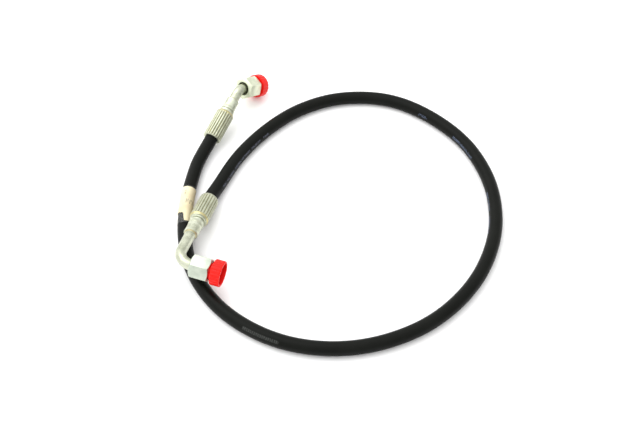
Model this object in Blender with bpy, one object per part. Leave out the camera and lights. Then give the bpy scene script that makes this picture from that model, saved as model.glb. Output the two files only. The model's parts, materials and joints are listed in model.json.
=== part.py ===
"""Hydraulic hose assembly: a looped wire-braided hose with a swept swivel elbow on each end.

Metres, +Z up. The hose lies on the plane z = 0, and the origin is on that plane under the middle of
the two end fittings. Each end is built along its own axis: local +Z runs from the ferrule's mouth
(z = 0) through the stem to the elbow, and a second frame at the elbow's corner has its +Z along the
swivel nut's axis. Those two frames are empties, placed by heading, pitch and roll.
"""

import math

import bmesh
import bpy
from mathutils import Matrix, Vector

MM = 0.001
GAP = 0.3 * MM  # clearance between pieces that touch

# Hose: 8 mm bore, two wire layers
HOSE_R = 7.7 * MM
LINER_R_IN = 4.3 * MM
LINER_R_OUT = 5.5 * MM
BRAID_R_OUT = 6.6 * MM
HOSE_ENTRY = 2.0 * MM  # how far the free hose goes into each ferrule
HOSE_LEAD = 6.0 * MM  # straight stretch outside each ferrule
HOSE_POINT_SPACING = 34.0 * MM
LAYER_END_GAP = 1.3 * MM  # between the clamped layers' ends and the ferrule's neck

# Crimped ferrule
FERRULE_R = 10.8 * MM
FERRULE_BORE_R = HOSE_R + GAP
FERRULE_LENGTH = 38.0 * MM
FERRULE_NECK_R = 5.4 * MM
FERRULE_NECK_DEPTH = 2.8 * MM
FERRULE_NECK_LIP = 2.4 * MM
FERRULE_MOUTH_CHAMFER = 0.8 * MM
FERRULE_SHOULDER = 2.6 * MM  # from the end back to where its chamfer starts
FERRULE_END_R = 8.9 * MM
RIB_COUNT = 20
RIB_DEPTH = 0.7 * MM
RIB_START = 2.2 * MM
RIB_RUN_OUT = 1.6 * MM

# Stem, tube and the 24 degree cone end (12 mm tube)
BORE_R = 3.5 * MM
TUBE_R = 6.0 * MM
TUBE_BORE_R = 4.5 * MM
BEND_STEP = 11.0  # degrees between the bend's sections
SOCKET_R = TUBE_R + GAP
SOCKET_DEPTH = 6.0 * MM
BORE_TAPER = 2.0 * MM
TAIL_START = HOSE_ENTRY + 2.0 * MM
BARB_R = LINER_R_IN - GAP
BARB_ROOT_R = BARB_R - 0.35 * MM
BARB_PITCH = 4.5 * MM
BARB_COUNT = 6
BARB_LEAD = 0.8 * MM
COLLAR_R = 9.0 * MM
COLLAR_LENGTH = 2.7 * MM
COLLAR_EDGE = 0.5 * MM
RELIEF_R = 7.2 * MM  # groove behind the collar
RELIEF_LENGTH = 0.8 * MM
BODY_R = 8.4 * MM
BODY_EDGE = 0.3 * MM
STEP_R = 7.6 * MM  # undercut between the body and the socket sleeve
SLEEVE_R = 7.9 * MM
SLEEVE_EDGE = 0.4 * MM
BRAZE_WIDTH = 1.0 * MM

# Sealing cone, stations counted from its back face
NOSE_INSET = 5.0 * MM  # from the nut's back face
NOSE_SHOULDER_R = 8.5 * MM
NOSE_SHOULDER_START = 1.6 * MM
NOSE_CONE_START = 4.4 * MM
NOSE_LENGTH = 9.4 * MM
NOSE_BACK_R = 7.0 * MM
CONE_R = 8.2 * MM
CONE_HALF_ANGLE = math.radians(12.0)
SEAL_GROOVE_START = 1.4 * MM  # from the cone's wide end
SEAL_GROOVE_WIDTH = 1.9 * MM
SEAL_GROOVE_DEPTH = 1.0 * MM
SEAL_R = 0.62 * MM
TUBE_IN_NUT = 9.0 * MM

# Swivel nut: M20 x 1.5, 24 mm across flats
NUT_FLATS = 24.0 * MM
NUT_LENGTH = 21.5 * MM
NUT_BACK_R = 8.0 * MM
THREAD_CORE_R = 9.2 * MM
THREAD_ROOT_R = 10.0 * MM
THREAD_PITCH = 1.5 * MM
THREAD_TURNS = 6
THREAD_LEAD = 1.0 * MM
NUT_CHAMFER_ANGLE = math.radians(30.0)
NUT_CHAMFER_IN = 2.2 * MM  # the back chamfer starts this far inside the flats
NUT_FRONT_CHAMFER = 0.75 * MM  # drop of the front chamfer at the corners
NUT_BLANK_OVER = 0.1 * MM
NUT_BORE_LENGTH = 4.6 * MM
NUT_SEAT = 7.2 * MM

# Protective plug
PLUG_SHANK_R = 8.7 * MM
PLUG_SHANK = 5.0 * MM  # depth inside the nut
PLUG_HEAD_R = 13.9 * MM
PLUG_HEAD_LENGTH = 11.0 * MM
PLUG_HEAD_CHAMFER = 1.1 * MM
PLUG_RIM_CHAMFER = 0.75 * MM
PLUG_NECK = 2.8 * MM
PLUG_LEAD = 0.6 * MM
PLUG_BORE_R = 7.0 * MM
PLUG_DISH_R = 11.7 * MM
PLUG_DISH_EDGE = 0.45 * MM
PLUG_FLOOR = (1.0 * MM, 3.0 * MM)  # underside and top of the floor, above the head's lower face
PLUG_FACETS = 20

# Label
LABEL_START = 84.0 * MM  # measured along the hose back from the far ferrule
LABEL_LENGTH = 50.0 * MM
FILM_OVERHANG = 2.0 * MM
FILM_THICKNESS = 0.2 * MM
PAPER_THICKNESS = 0.25 * MM

# The two ends: place of the ferrule's mouth and the way the end points
END_A = {
    "mouth": (-17.3 * MM, -35.6 * MM, 12.3 * MM),
    "heading": -104.0,
    "pitch": 11.6,
    "roll": -4.2,
    "bend": 88.0,
    "stem_length": 24.7 * MM,
    "body_length": 7.0 * MM,
    "corner": 108.1 * MM,
    "bend_radius": 18.8 * MM,
    "nut_back": 17.0 * MM,
    "nut_turn": 14.2,
}
END_B = {
    "mouth": (-21.6 * MM, 60.5 * MM, 13.0 * MM),
    "heading": 64.4,
    "pitch": 14.9,
    "roll": -105.0,
    "bend": 45.0,
    "stem_length": 19.0 * MM,
    "body_length": 3.5 * MM,
    "corner": 74.2 * MM,
    "bend_radius": 16.0 * MM,
    "nut_back": 7.2 * MM,
    "nut_turn": 9.2,
}
ENDS = {"a": END_A, "b": END_B}

# The hose's route on the floor from end A round to end B, in millimetres
ROUTE_MM = [
    (-8.5, -10.5, 8.6), (12.5, 36.5, 7.75), (43.5, 79.5, 7.75), (81.5, 113.5, 7.75),
    (125.5, 133, 7.75), (172.5, 135.5, 7.75), (209.5, 124.5, 7.75), (249.5, 95.5, 7.75),
    (281.5, 55.5, 7.75), (300.5, 5.5, 7.75), (305, -39.5, 7.75), (299, -85.5, 7.75),
    (279.5, -133.5, 7.75), (251.5, -171.5, 7.75), (218.5, -199.5, 7.75), (181.5, -218, 7.75),
    (144.5, -227.5, 7.75), (106.5, -228.5, 7.75), (69.5, -221, 7.75), (34, -204, 7.75),
    (4.5, -180.5, 7.75), (-18.5, -150.5, 7.75), (-34.5, -115.5, 7.75), (-41.5, -82.5, 7.75),
    (-43.5, -55.5, 7.75), (-43, -28.5, 7.75), (-40, -0.5, 7.9), (-35, 25.5, 9.0),
]

# Colours
BLACK_RUBBER = (0.022, 0.024, 0.023)
PLATING = (0.78, 0.78, 0.68)
NUT_PLATING = (0.80, 0.83, 0.78)
BRAZE = (0.72, 0.58, 0.25)
RED_PLASTIC = (0.80, 0.025, 0.02)
PAPER = (0.90, 0.80, 0.58)

materials = {}


def clear_scene():
    for thing in list(bpy.data.objects):
        bpy.data.objects.remove(thing, do_unlink=True)


def material(name, colour, roughness, metallic, alpha=1.0):
    if name not in materials:
        made = bpy.data.materials.new(name)
        made.use_nodes = True
        shader = made.node_tree.nodes["Principled BSDF"]
        shader.inputs["Base Color"].default_value = (*colour, 1.0)
        shader.inputs["Roughness"].default_value = roughness
        shader.inputs["Metallic"].default_value = metallic
        shader.inputs["Alpha"].default_value = alpha
        materials[name] = made
    return materials[name]


def add_object(name, mesh, parent, finish):
    piece = bpy.data.objects.new(name, mesh)
    bpy.context.scene.collection.objects.link(piece)
    piece.parent = parent
    mesh.materials.append(finish)
    mesh.shade_smooth()
    mesh.set_sharp_from_angle(angle=math.radians(30.0))
    return piece


def turned_mesh(name, outline, sides):
    """A closed ring or solid: the outline of (radius, height) points spun round local Z."""
    shape = bmesh.new()
    corners = [shape.verts.new((radius, 0.0, height)) for radius, height in outline]
    loop = [shape.edges.new((a, b)) for a, b in zip(corners, corners[1:] + corners[:1])]
    bmesh.ops.spin(
        shape, geom=corners + loop, axis=(0, 0, 1), cent=(0, 0, 0),
        angle=math.tau, steps=sides, use_merge=True, use_duplicate=False,
    )
    bmesh.ops.remove_doubles(shape, verts=shape.verts, dist=1e-6)
    bmesh.ops.recalc_face_normals(shape, faces=shape.faces)
    mesh = bpy.data.meshes.new(name)
    shape.to_mesh(mesh)
    shape.free()
    return mesh


def turned(name, outline, parent, finish, sides=24):
    return add_object(name, turned_mesh(name, outline, sides), parent, finish)


def swept_sleeve(name, path, inner, outer, parent, finish, sides=20):
    """A pipe along a path of points: an outer and an inner skin joined by flat end rings."""
    shape = bmesh.new()
    tangents = path_tangents(path)
    side = tangents[0].orthogonal().normalized()
    sections = []
    for index, point in enumerate(path):
        tangent = tangents[index]
        side = (side - tangent * side.dot(tangent)).normalized()
        other = tangent.cross(side)
        section = []
        for radius in (outer, inner):
            ring = []
            for step in range(sides):
                turn = math.tau * step / sides
                offset = side * math.cos(turn) + other * math.sin(turn)
                ring.append(shape.verts.new(point + offset * radius))
            section.append(ring)
        sections.append(section)
    for step in range(sides):
        after = (step + 1) % sides
        for near, far in zip(sections, sections[1:]):
            for skin in (0, 1):
                shape.faces.new((near[skin][step], near[skin][after], far[skin][after], far[skin][step]))
        for section in (sections[0], sections[-1]):
            shape.faces.new((section[0][step], section[0][after], section[1][after], section[1][step]))
    bmesh.ops.recalc_face_normals(shape, faces=shape.faces)
    mesh = bpy.data.meshes.new(name)
    shape.to_mesh(mesh)
    shape.free()
    return add_object(name, mesh, parent, finish)


def path_tangents(path):
    tangents = []
    for index in range(len(path)):
        before = path[max(index - 1, 0)]
        after = path[min(index + 1, len(path) - 1)]
        tangents.append((after - before).normalized())
    return tangents


def end_matrix(end):
    """World frame of an end: +Z along the stem, +X towards the side the elbow bends to."""
    heading = math.radians(end["heading"])
    pitch = math.radians(end["pitch"])
    roll = math.radians(end["roll"])
    along = Vector((
        math.cos(pitch) * math.cos(heading),
        math.cos(pitch) * math.sin(heading),
        math.sin(pitch),
    ))
    left = Vector((-math.sin(heading), math.cos(heading), 0.0))
    up = along.cross(left)
    bend_side = left * math.cos(roll) + up * math.sin(roll)
    turn = Matrix((bend_side, along.cross(bend_side), along)).transposed()
    return Matrix.Translation(Vector(end["mouth"])) @ turn.to_4x4()


def empty(name, matrix, parent=None):
    frame = bpy.data.objects.new(name, None)
    frame.empty_display_size = 0.01
    bpy.context.scene.collection.objects.link(frame)
    frame.parent = parent
    frame.matrix_local = matrix
    return frame


def ferrule(tag, frame):
    """Crimped sleeve, ribbed lengthwise, with a turned-in neck that locks behind the stem's collar."""
    shoulder = FERRULE_LENGTH - FERRULE_SHOULDER
    outline = [
        (FERRULE_BORE_R, 0.0),
        (FERRULE_R - FERRULE_MOUTH_CHAMFER, 0.0),
        (FERRULE_R, FERRULE_MOUTH_CHAMFER),
        (FERRULE_R, RIB_START),
        (FERRULE_R, shoulder - RIB_RUN_OUT),
        (FERRULE_R - GAP, shoulder),
        (FERRULE_END_R, FERRULE_LENGTH),
        (FERRULE_NECK_R, FERRULE_LENGTH),
        (FERRULE_NECK_R, FERRULE_LENGTH - FERRULE_NECK_LIP),
        (FERRULE_BORE_R, FERRULE_LENGTH - FERRULE_NECK_DEPTH),
    ]
    finish = material("ferrule_plating", PLATING, 0.34, 0.9)
    mesh = turned_mesh("ferrule_" + tag, outline, RIB_COUNT * 2)
    step = math.tau / (RIB_COUNT * 2)
    for vertex in mesh.vertices:
        radius = math.hypot(vertex.co.x, vertex.co.y)
        ribbed = radius > FERRULE_R - GAP / 2.0 and vertex.co.z > FERRULE_MOUTH_CHAMFER * 1.5
        valley = round(math.atan2(vertex.co.y, vertex.co.x) / step) % 2 == 1
        if ribbed and valley:
            vertex.co.x *= 1.0 - RIB_DEPTH / radius
            vertex.co.y *= 1.0 - RIB_DEPTH / radius
    return add_object("ferrule_" + tag, mesh, frame, finish)


def hose_end_layers(tag, frame):
    """The clamped end of the hose: liner, wire braid and cover, one inside the other."""
    start = HOSE_ENTRY + GAP
    finish_at = FERRULE_LENGTH - FERRULE_NECK_DEPTH - LAYER_END_GAP
    layers = [
        ("hose_liner_end_", LINER_R_IN, LINER_R_OUT - GAP, BLACK_RUBBER, 0.6, 0.0),
        ("wire_braid_end_", LINER_R_OUT, BRAID_R_OUT - GAP, (0.55, 0.53, 0.5), 0.35, 0.9),
        ("hose_cover_end_", BRAID_R_OUT, HOSE_R, BLACK_RUBBER, 0.55, 0.0),
    ]
    for name, inner, outer, colour, roughness, metallic in layers:
        outline = [(inner, start), (outer, start), (outer, finish_at), (inner, finish_at)]
        finish = material(name.rstrip("_"), colour, roughness, metallic)
        turned(name + tag, outline, frame, finish)


def stem(tag, frame, end):
    """Insert nipple: barbed tail, groove for the ferrule's neck, collar and stepped socket body."""
    outline = [(BORE_R, TAIL_START), (BARB_ROOT_R, TAIL_START)]
    for index in range(BARB_COUNT):
        root = TAIL_START + BARB_LEAD + index * BARB_PITCH
        outline.append((BARB_ROOT_R, root))
        outline.append((BARB_R, root + 0.9 * BARB_PITCH))
    neck = FERRULE_LENGTH - FERRULE_NECK_DEPTH
    collar = FERRULE_LENGTH + GAP
    body = collar + COLLAR_LENGTH + RELIEF_LENGTH
    step = body + end["body_length"]
    top = FERRULE_LENGTH + end["stem_length"]
    outline += [
        (BARB_ROOT_R, neck - BARB_LEAD),
        (FERRULE_NECK_R - GAP, neck),
        (FERRULE_NECK_R - GAP, collar),
        (COLLAR_R, collar),
        (COLLAR_R, collar + COLLAR_LENGTH - COLLAR_EDGE),
        (COLLAR_R - COLLAR_EDGE, collar + COLLAR_LENGTH),
        (RELIEF_R, collar + COLLAR_LENGTH),
        (RELIEF_R, body),
        (BODY_R, body + BODY_EDGE),
        (BODY_R, step - BODY_R + STEP_R),
        (STEP_R, step),
        (SLEEVE_R, step + BODY_EDGE),
        (SLEEVE_R, top - SLEEVE_EDGE),
        (SLEEVE_R - SLEEVE_EDGE, top),
        (SOCKET_R, top),
        (SOCKET_R, top - SOCKET_DEPTH),
        (TUBE_BORE_R, top - SOCKET_DEPTH),
        (BORE_R, top - SOCKET_DEPTH - BORE_TAPER),
    ]
    turned("stem_" + tag, outline, frame, material("stem_plating", PLATING, 0.3, 0.9))
    ring = [
        (SOCKET_R, top + GAP),
        (SOCKET_R + BRAZE_WIDTH, top + GAP),
        (SOCKET_R, top + GAP + BRAZE_WIDTH),
    ]
    turned("stem_braze_" + tag, ring, frame, material("braze", BRAZE, 0.35, 0.9))
    return top


def elbow_tube(tag, frame, end, start):
    """Bent tube from the stem's socket round the elbow and into the cone nose."""
    bend = math.radians(end["bend"])
    radius = end["bend_radius"]
    tangent_length = radius * math.tan(bend / 2.0)
    corner = end["corner"]
    path = [Vector((0.0, 0.0, start))]
    steps = max(4, round(end["bend"] / BEND_STEP))
    for index in range(steps + 1):
        turn = bend * index / steps
        path.append(Vector((
            radius * (1.0 - math.cos(turn)),
            0.0,
            corner - tangent_length + radius * math.sin(turn),
        )))
    onward = Vector((math.sin(bend), 0.0, math.cos(bend)))
    tube_end = end["nut_back"] + TUBE_IN_NUT
    path.append(Vector((0.0, 0.0, corner)) + onward * tube_end)
    finish = material("tube_plating", PLATING, 0.26, 0.9)
    swept_sleeve("elbow_tube_" + tag, path, TUBE_BORE_R, TUBE_R, frame, finish)
    return tube_end


def cone_nose(tag, frame, end, tube_end):
    """24 degree sealing cone on the tube's end; its shoulder keeps the nut from coming off."""
    back = end["nut_back"] + NOSE_INSET
    cone_start = back + NOSE_CONE_START
    groove = cone_start + SEAL_GROOVE_START
    groove_end = groove + SEAL_GROOVE_WIDTH
    tip = back + NOSE_LENGTH
    slope = math.tan(CONE_HALF_ANGLE)

    def cone_at(height):
        return CONE_R - (height - cone_start) * slope

    groove_r = cone_at(groove) - SEAL_GROOVE_DEPTH
    outline = [
        (SOCKET_R, back),
        (NOSE_BACK_R, back),
        (NOSE_SHOULDER_R, back + NOSE_SHOULDER_START),
        (NOSE_SHOULDER_R, cone_start - GAP),
        (CONE_R, cone_start),
        (cone_at(groove), groove),
        (groove_r, groove),
        (groove_r, groove_end),
        (cone_at(groove_end), groove_end),
        (cone_at(tip), tip),
        (TUBE_BORE_R, tip),
        (TUBE_BORE_R, tube_end + GAP),
        (SOCKET_R, tube_end + GAP),
    ]
    turned("cone_nose_" + tag, outline, frame, material("nose_plating", PLATING, 0.25, 0.9))

    ring_centre = groove_r + GAP + SEAL_R
    ring_height = (groove + groove_end) / 2.0
    o_ring = []
    for index in range(6):
        turn = math.tau * index / 6
        o_ring.append((
            ring_centre + SEAL_R * math.cos(turn),
            ring_height + SEAL_R * math.sin(turn),
        ))
    turned("o_ring_" + tag, o_ring, frame, material("seal_rubber", BLACK_RUBBER, 0.4, 0.0), 20)

    braze = [
        (SOCKET_R, back - GAP),
        (SOCKET_R, back - GAP - BRAZE_WIDTH),
        (NOSE_BACK_R, back - GAP),
    ]
    turned("nose_braze_" + tag, braze, frame, material("braze", BRAZE, 0.35, 0.9), 20)


def swivel_nut(tag, frame, end):
    """Hexagonal nut: a turned blank with thread grooves, cut to six flats."""
    back = end["nut_back"]
    front = back + NUT_LENGTH
    corner_r = NUT_FLATS / 2.0 / math.cos(math.pi / 6.0)
    blank_r = corner_r + NUT_BLANK_OVER
    chamfer_r = NUT_FLATS / 2.0 - NUT_CHAMFER_IN
    chamfer_drop = (blank_r - chamfer_r) * math.tan(NUT_CHAMFER_ANGLE)
    outline = [
        (NUT_BACK_R, back),
        (chamfer_r, back),
        (blank_r, back + chamfer_drop),
        (blank_r, front - NUT_FRONT_CHAMFER),
        (NUT_FLATS / 2.0 - NUT_BLANK_OVER, front),
        (THREAD_ROOT_R + GAP, front),
        (THREAD_CORE_R, front - THREAD_LEAD),
    ]
    for index in range(THREAD_TURNS):
        crest = front - THREAD_LEAD - GAP - index * THREAD_PITCH
        outline.append((THREAD_CORE_R, crest))
        outline.append((THREAD_ROOT_R, crest - 0.47 * THREAD_PITCH))
        outline.append((THREAD_CORE_R, crest - 0.93 * THREAD_PITCH))
    outline += [
        (THREAD_CORE_R, back + NUT_SEAT),
        (NUT_BACK_R, back + NUT_BORE_LENGTH),
    ]
    finish = material("nut_plating", NUT_PLATING, 0.36, 0.85)
    nut = turned("swivel_nut_" + tag, outline, frame, finish, 24)

    cutter_mesh = bpy.data.meshes.new("hexagon_" + tag)
    shape = bmesh.new()
    bmesh.ops.create_cone(
        shape, cap_ends=True, segments=6, radius1=corner_r, radius2=corner_r,
        depth=NUT_LENGTH * 2.0,
        matrix=Matrix.Translation((0.0, 0.0, (back + front) / 2.0))
        @ Matrix.Rotation(math.radians(end["nut_turn"]), 4, "Z") @ hexagon_start(),
    )
    shape.to_mesh(cutter_mesh)
    shape.free()
    cutter = bpy.data.objects.new("hexagon_" + tag, cutter_mesh)
    bpy.context.scene.collection.objects.link(cutter)
    cutter.parent = frame
    cutter.hide_render = True
    cutter.display_type = "WIRE"
    cut = nut.modifiers.new("six_flats", "BOOLEAN")
    cut.operation = "INTERSECT"
    cut.object = cutter
    return nut


def hexagon_start():
    """Turns Blender's six-sided cone so that its first corner lies on local +X."""
    return Matrix.Rotation(math.radians(90.0), 4, "Z")


def plug(tag, frame, end):
    """Screw plug: hollow shank in the thread, short neck, and a dished, faceted head."""
    front = end["nut_back"] + NUT_LENGTH
    low = front - PLUG_SHANK
    head = front + PLUG_NECK
    top = head + PLUG_HEAD_LENGTH
    underside, floor = PLUG_FLOOR
    outline = [
        (PLUG_BORE_R, low),
        (PLUG_SHANK_R - PLUG_LEAD, low),
        (PLUG_SHANK_R, low + PLUG_LEAD),
        (PLUG_SHANK_R, head),
        (PLUG_HEAD_R - PLUG_HEAD_CHAMFER, head),
        (PLUG_HEAD_R, head + PLUG_HEAD_CHAMFER),
        (PLUG_HEAD_R, top - PLUG_RIM_CHAMFER),
        (PLUG_HEAD_R - PLUG_RIM_CHAMFER, top),
        (PLUG_DISH_R + PLUG_DISH_EDGE, top),
        (PLUG_DISH_R, top - PLUG_DISH_EDGE),
        (PLUG_DISH_R - PLUG_DISH_EDGE, head + floor),
        (0.0, head + floor),
        (0.0, head + underside),
        (PLUG_BORE_R, head + underside),
    ]
    finish = material("red_plastic", RED_PLASTIC, 0.38, 0.0)
    return turned("plug_" + tag, outline, frame, finish, PLUG_FACETS)


def build_end(tag, end):
    frame = empty("end_" + tag, end_matrix(end))
    ferrule(tag, frame)
    hose_end_layers(tag, frame)
    top = stem(tag, frame, end)
    tube_end = elbow_tube(tag, frame, end, top - SOCKET_DEPTH + GAP)
    swivel = Matrix.Translation((0.0, 0.0, end["corner"])) @ Matrix.Rotation(
        math.radians(end["bend"]), 4, "Y"
    )
    axis = empty("swivel_axis_" + tag, swivel, frame)
    cone_nose(tag, axis, end, tube_end)
    swivel_nut(tag, axis, end)
    plug(tag, axis, end)


def hose_route():
    """Evenly spaced points on a smooth curve over the floor, with a straight entry at each end."""
    starts = [end_matrix(ENDS[tag]) @ Vector((0.0, 0.0, HOSE_ENTRY)) for tag in ("a", "b")]
    leads = [end_matrix(ENDS[tag]) @ Vector((0.0, 0.0, -HOSE_LEAD)) for tag in ("a", "b")]
    knots = [leads[0]] + [Vector(point) * MM for point in ROUTE_MM] + [leads[1]]
    knots = [starts[0]] + knots + [starts[1]]
    dense = []
    for p0, p1, p2, p3 in zip(knots, knots[1:], knots[2:], knots[3:]):
        dense += catmull_rom(p0, p1, p2, p3)
    dense.append(leads[1])
    return [starts[0]] + evenly_spaced(dense, HOSE_POINT_SPACING) + [starts[1]]


def catmull_rom(p0, p1, p2, p3, steps=16):
    """Centripetal Catmull-Rom points from p1 up to, but not including, p2."""
    t0 = 0.0
    t1 = t0 + math.sqrt((p1 - p0).length)
    t2 = t1 + math.sqrt((p2 - p1).length)
    t3 = t2 + math.sqrt((p3 - p2).length)
    points = []
    for index in range(steps):
        t = t1 + (t2 - t1) * index / steps
        a1 = p0 * ((t1 - t) / (t1 - t0)) + p1 * ((t - t0) / (t1 - t0))
        a2 = p1 * ((t2 - t) / (t2 - t1)) + p2 * ((t - t1) / (t2 - t1))
        a3 = p2 * ((t3 - t) / (t3 - t2)) + p3 * ((t - t2) / (t3 - t2))
        b1 = a1 * ((t2 - t) / (t2 - t0)) + a2 * ((t - t0) / (t2 - t0))
        b2 = a2 * ((t3 - t) / (t3 - t1)) + a3 * ((t - t1) / (t3 - t1))
        points.append(b1 * ((t2 - t) / (t2 - t1)) + b2 * ((t - t1) / (t2 - t1)))
    return points


def lengths_along(points):
    total = [0.0]
    for before, after in zip(points, points[1:]):
        total.append(total[-1] + (after - before).length)
    return total


def point_at(points, total, distance):
    for index in range(1, len(points)):
        if distance <= total[index] or index == len(points) - 1:
            span = total[index] - total[index - 1]
            share = (distance - total[index - 1]) / span
            return points[index - 1].lerp(points[index], share)


def evenly_spaced(points, spacing):
    total = lengths_along(points)
    count = round(total[-1] / spacing)
    return [point_at(points, total, total[-1] * index / count) for index in range(count + 1)]


def hose(path):
    curve = bpy.data.curves.new("hose", "CURVE")
    curve.dimensions = "3D"
    curve.bevel_depth = HOSE_R
    curve.bevel_resolution = 4
    curve.use_fill_caps = True
    spline = curve.splines.new("POLY")
    spline.points.add(len(path) - 1)
    for control, point in zip(spline.points, path):
        control.co = (*point, 1.0)
    curve.materials.append(material("hose_rubber", BLACK_RUBBER, 0.5, 0.0))
    piece = bpy.data.objects.new("hose", curve)
    bpy.context.scene.collection.objects.link(piece)


def stretch_of(path, start, finish):
    """The part of a path between two distances along it, keeping its own corners."""
    total = lengths_along(path)
    inside = [point for point, run in zip(path, total) if start < run < finish]
    return [point_at(path, total, start)] + inside + [point_at(path, total, finish)]


def label(path):
    """Paper label with a clear film under it that shows a little beyond both its ends."""
    length = lengths_along(path)[-1]
    finish = length - LABEL_START
    start = finish - LABEL_LENGTH
    film_in = HOSE_R + GAP
    film_out = film_in + FILM_THICKNESS
    film_path = stretch_of(path, start - FILM_OVERHANG, finish + FILM_OVERHANG)
    film = material("clear_film", (0.75, 0.74, 0.70), 0.2, 0.0, 0.5)
    swept_sleeve("label_film", film_path, film_in, film_out, None, film)
    paper_in = film_out + GAP
    paper_path = stretch_of(path, start, finish)
    paper = material("label_paper", PAPER, 0.6, 0.0)
    swept_sleeve("label_paper", paper_path, paper_in, paper_in + PAPER_THICKNESS, None, paper)


clear_scene()
for end_tag, end_values in ENDS.items():
    build_end(end_tag, end_values)
hose_path = hose_route()
hose(hose_path)
label(hose_path)
bpy.context.view_layer.update()
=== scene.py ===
import json
import math
import random

import bmesh
import bpy
from mathutils import Matrix, Vector


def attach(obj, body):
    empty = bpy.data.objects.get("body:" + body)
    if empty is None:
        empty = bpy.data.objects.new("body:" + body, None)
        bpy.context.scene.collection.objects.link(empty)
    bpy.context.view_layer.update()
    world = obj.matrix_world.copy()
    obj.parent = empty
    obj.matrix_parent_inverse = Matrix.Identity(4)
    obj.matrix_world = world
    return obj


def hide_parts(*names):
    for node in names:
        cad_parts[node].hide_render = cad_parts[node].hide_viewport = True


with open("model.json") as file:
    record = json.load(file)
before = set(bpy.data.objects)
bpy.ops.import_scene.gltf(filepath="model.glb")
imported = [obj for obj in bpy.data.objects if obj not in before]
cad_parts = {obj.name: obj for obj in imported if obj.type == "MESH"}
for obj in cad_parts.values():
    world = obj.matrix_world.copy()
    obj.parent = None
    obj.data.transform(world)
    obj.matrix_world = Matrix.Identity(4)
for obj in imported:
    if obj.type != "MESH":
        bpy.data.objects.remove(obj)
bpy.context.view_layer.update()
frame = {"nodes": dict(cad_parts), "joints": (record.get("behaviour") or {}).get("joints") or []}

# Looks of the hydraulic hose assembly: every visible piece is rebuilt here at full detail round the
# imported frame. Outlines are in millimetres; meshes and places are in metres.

MM = 0.001
BODY = "hose_line"

# Smooth shading stops at edges sharper than this, in degrees; a fillet has this many steps
SHARP_ANGLE = 32.0
HOSE_SHARP_ANGLE = 40.0
FILLET_STEPS = 4

# Hose
HOSE_R = 7.7
HOSE_ENTRY = 2.0
HOSE_LEAD = 6.0
HOSE_STEP = 2.0
HOSE_SIDES = 56
ROUTE_STEPS = 24
TANGENT_REACH = 1.5 * MM

# The hose's route on the floor from end A round to end B, the same points as in part.py
ROUTE_MM = [
    (-8.5, -10.5, 8.6), (12.5, 36.5, 7.75), (43.5, 79.5, 7.75), (81.5, 113.5, 7.75),
    (125.5, 133, 7.75), (172.5, 135.5, 7.75), (209.5, 124.5, 7.75), (249.5, 95.5, 7.75),
    (281.5, 55.5, 7.75), (300.5, 5.5, 7.75), (305, -39.5, 7.75), (299, -85.5, 7.75),
    (279.5, -133.5, 7.75), (251.5, -171.5, 7.75), (218.5, -199.5, 7.75), (181.5, -218, 7.75),
    (144.5, -227.5, 7.75), (106.5, -228.5, 7.75), (69.5, -221, 7.75), (34, -204, 7.75),
    (4.5, -180.5, 7.75), (-18.5, -150.5, 7.75), (-34.5, -115.5, 7.75), (-41.5, -82.5, 7.75),
    (-43.5, -55.5, 7.75), (-43, -28.5, 7.75), (-40, -0.5, 7.9), (-35, 25.5, 9.0),
]

# Label
LABEL_START = 84.0
LABEL_LENGTH = 50.0
FILM_OVERHANG = 2.0
FILM_SKINS = (0.08, 0.30)
PAPER_SKINS = (0.36, 0.62)
LAP_STEP = 0.22
TEAR_LIFT = 0.25
TEAR_DEPTH = 11.5
TEAR_SLANT = 3.0

# Ferrules
FERRULE_R = 10.8
FERRULE_BORE_R = 7.75
FERRULE_NECK_R = 5.4
FERRULE_MOUTH = 1.1
FERRULE_CHAMFER = 2.2
FERRULE_NECK = 2.8
FERRULE_ROWS = 26
RIB_COUNT = 20
RIB_DEPTH = 0.75
RIB_CROWN = 0.12
BARREL_BOW = 0.12

# Stems
STEM_BORE_R = 3.5
BARB_COUNT = 6
BARB_PITCH = 4.5
BARB_ROOT_R = 3.65
BARB_TIP_R = 4.0
COLLAR_R = 9.0
COLLAR_LENGTH = 3.6
BODY_R = 8.4
BODY_LENGTH = {"a": 7.0, "b": 3.5}

# Bent tubes
TUBE_R = 6.0
TUBE_BORE_R = 4.5
TUBE_SIDES = 64
TUBE_OVAL = 0.02
BEND_RADIUS = {"a": 18.8, "b": 16.0}
BEND_STEP_DEG = 3.0
SOCKET_R = 6.15
SOCKET_DEPTH = 6.0

# Sealing cones
NOSE_SHOULDER_R = 8.5
NOSE_SHOULDER = 4.4
CONE_R = 8.2
CONE_SLOPE = math.tan(math.radians(12.0))
GROOVE_AT = 1.4
GROOVE_WIDTH = 1.9
GROOVE_DEPTH = 1.0
SEAL_R = 0.78

# Nuts
NUT_BACK_R = 8.0
NUT_BACK_CHAMFER = 2.2
NUT_FRONT_CHAMFER = 0.1
NUT_CHAMFER_SLOPE = math.tan(math.radians(30.0))
NUT_CORNER_ROUND = 0.5
NUT_EDGE = 0.4
EDGE_PULL = 0.35
EDGE_DROP = 0.12
EDGE_RISE = 0.9
NUT_COUNTERBORE = 4.6
THREAD_START = 7.4
THREAD_CORE_R = 9.2
THREAD_ROOT_R = 10.0
THREAD_PITCH = 1.5

# Plugs
PLUG_SHANK = 5.0
PLUG_SHANK_R = 8.7
PLUG_THREAD_ROWS = 40
PLUG_NECK = 2.8
PLUG_WALL = 2.0
PLUG_FACETS = 20
PLUG_FACET_DIP = 0.45

# Turns round the hose are in radians, counted from the loop's inner side upwards
SEAM_TURN = -math.pi / 2.0
TEAR_TURN = math.radians(92.0)
LAP_TURN = math.radians(250.0)

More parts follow.
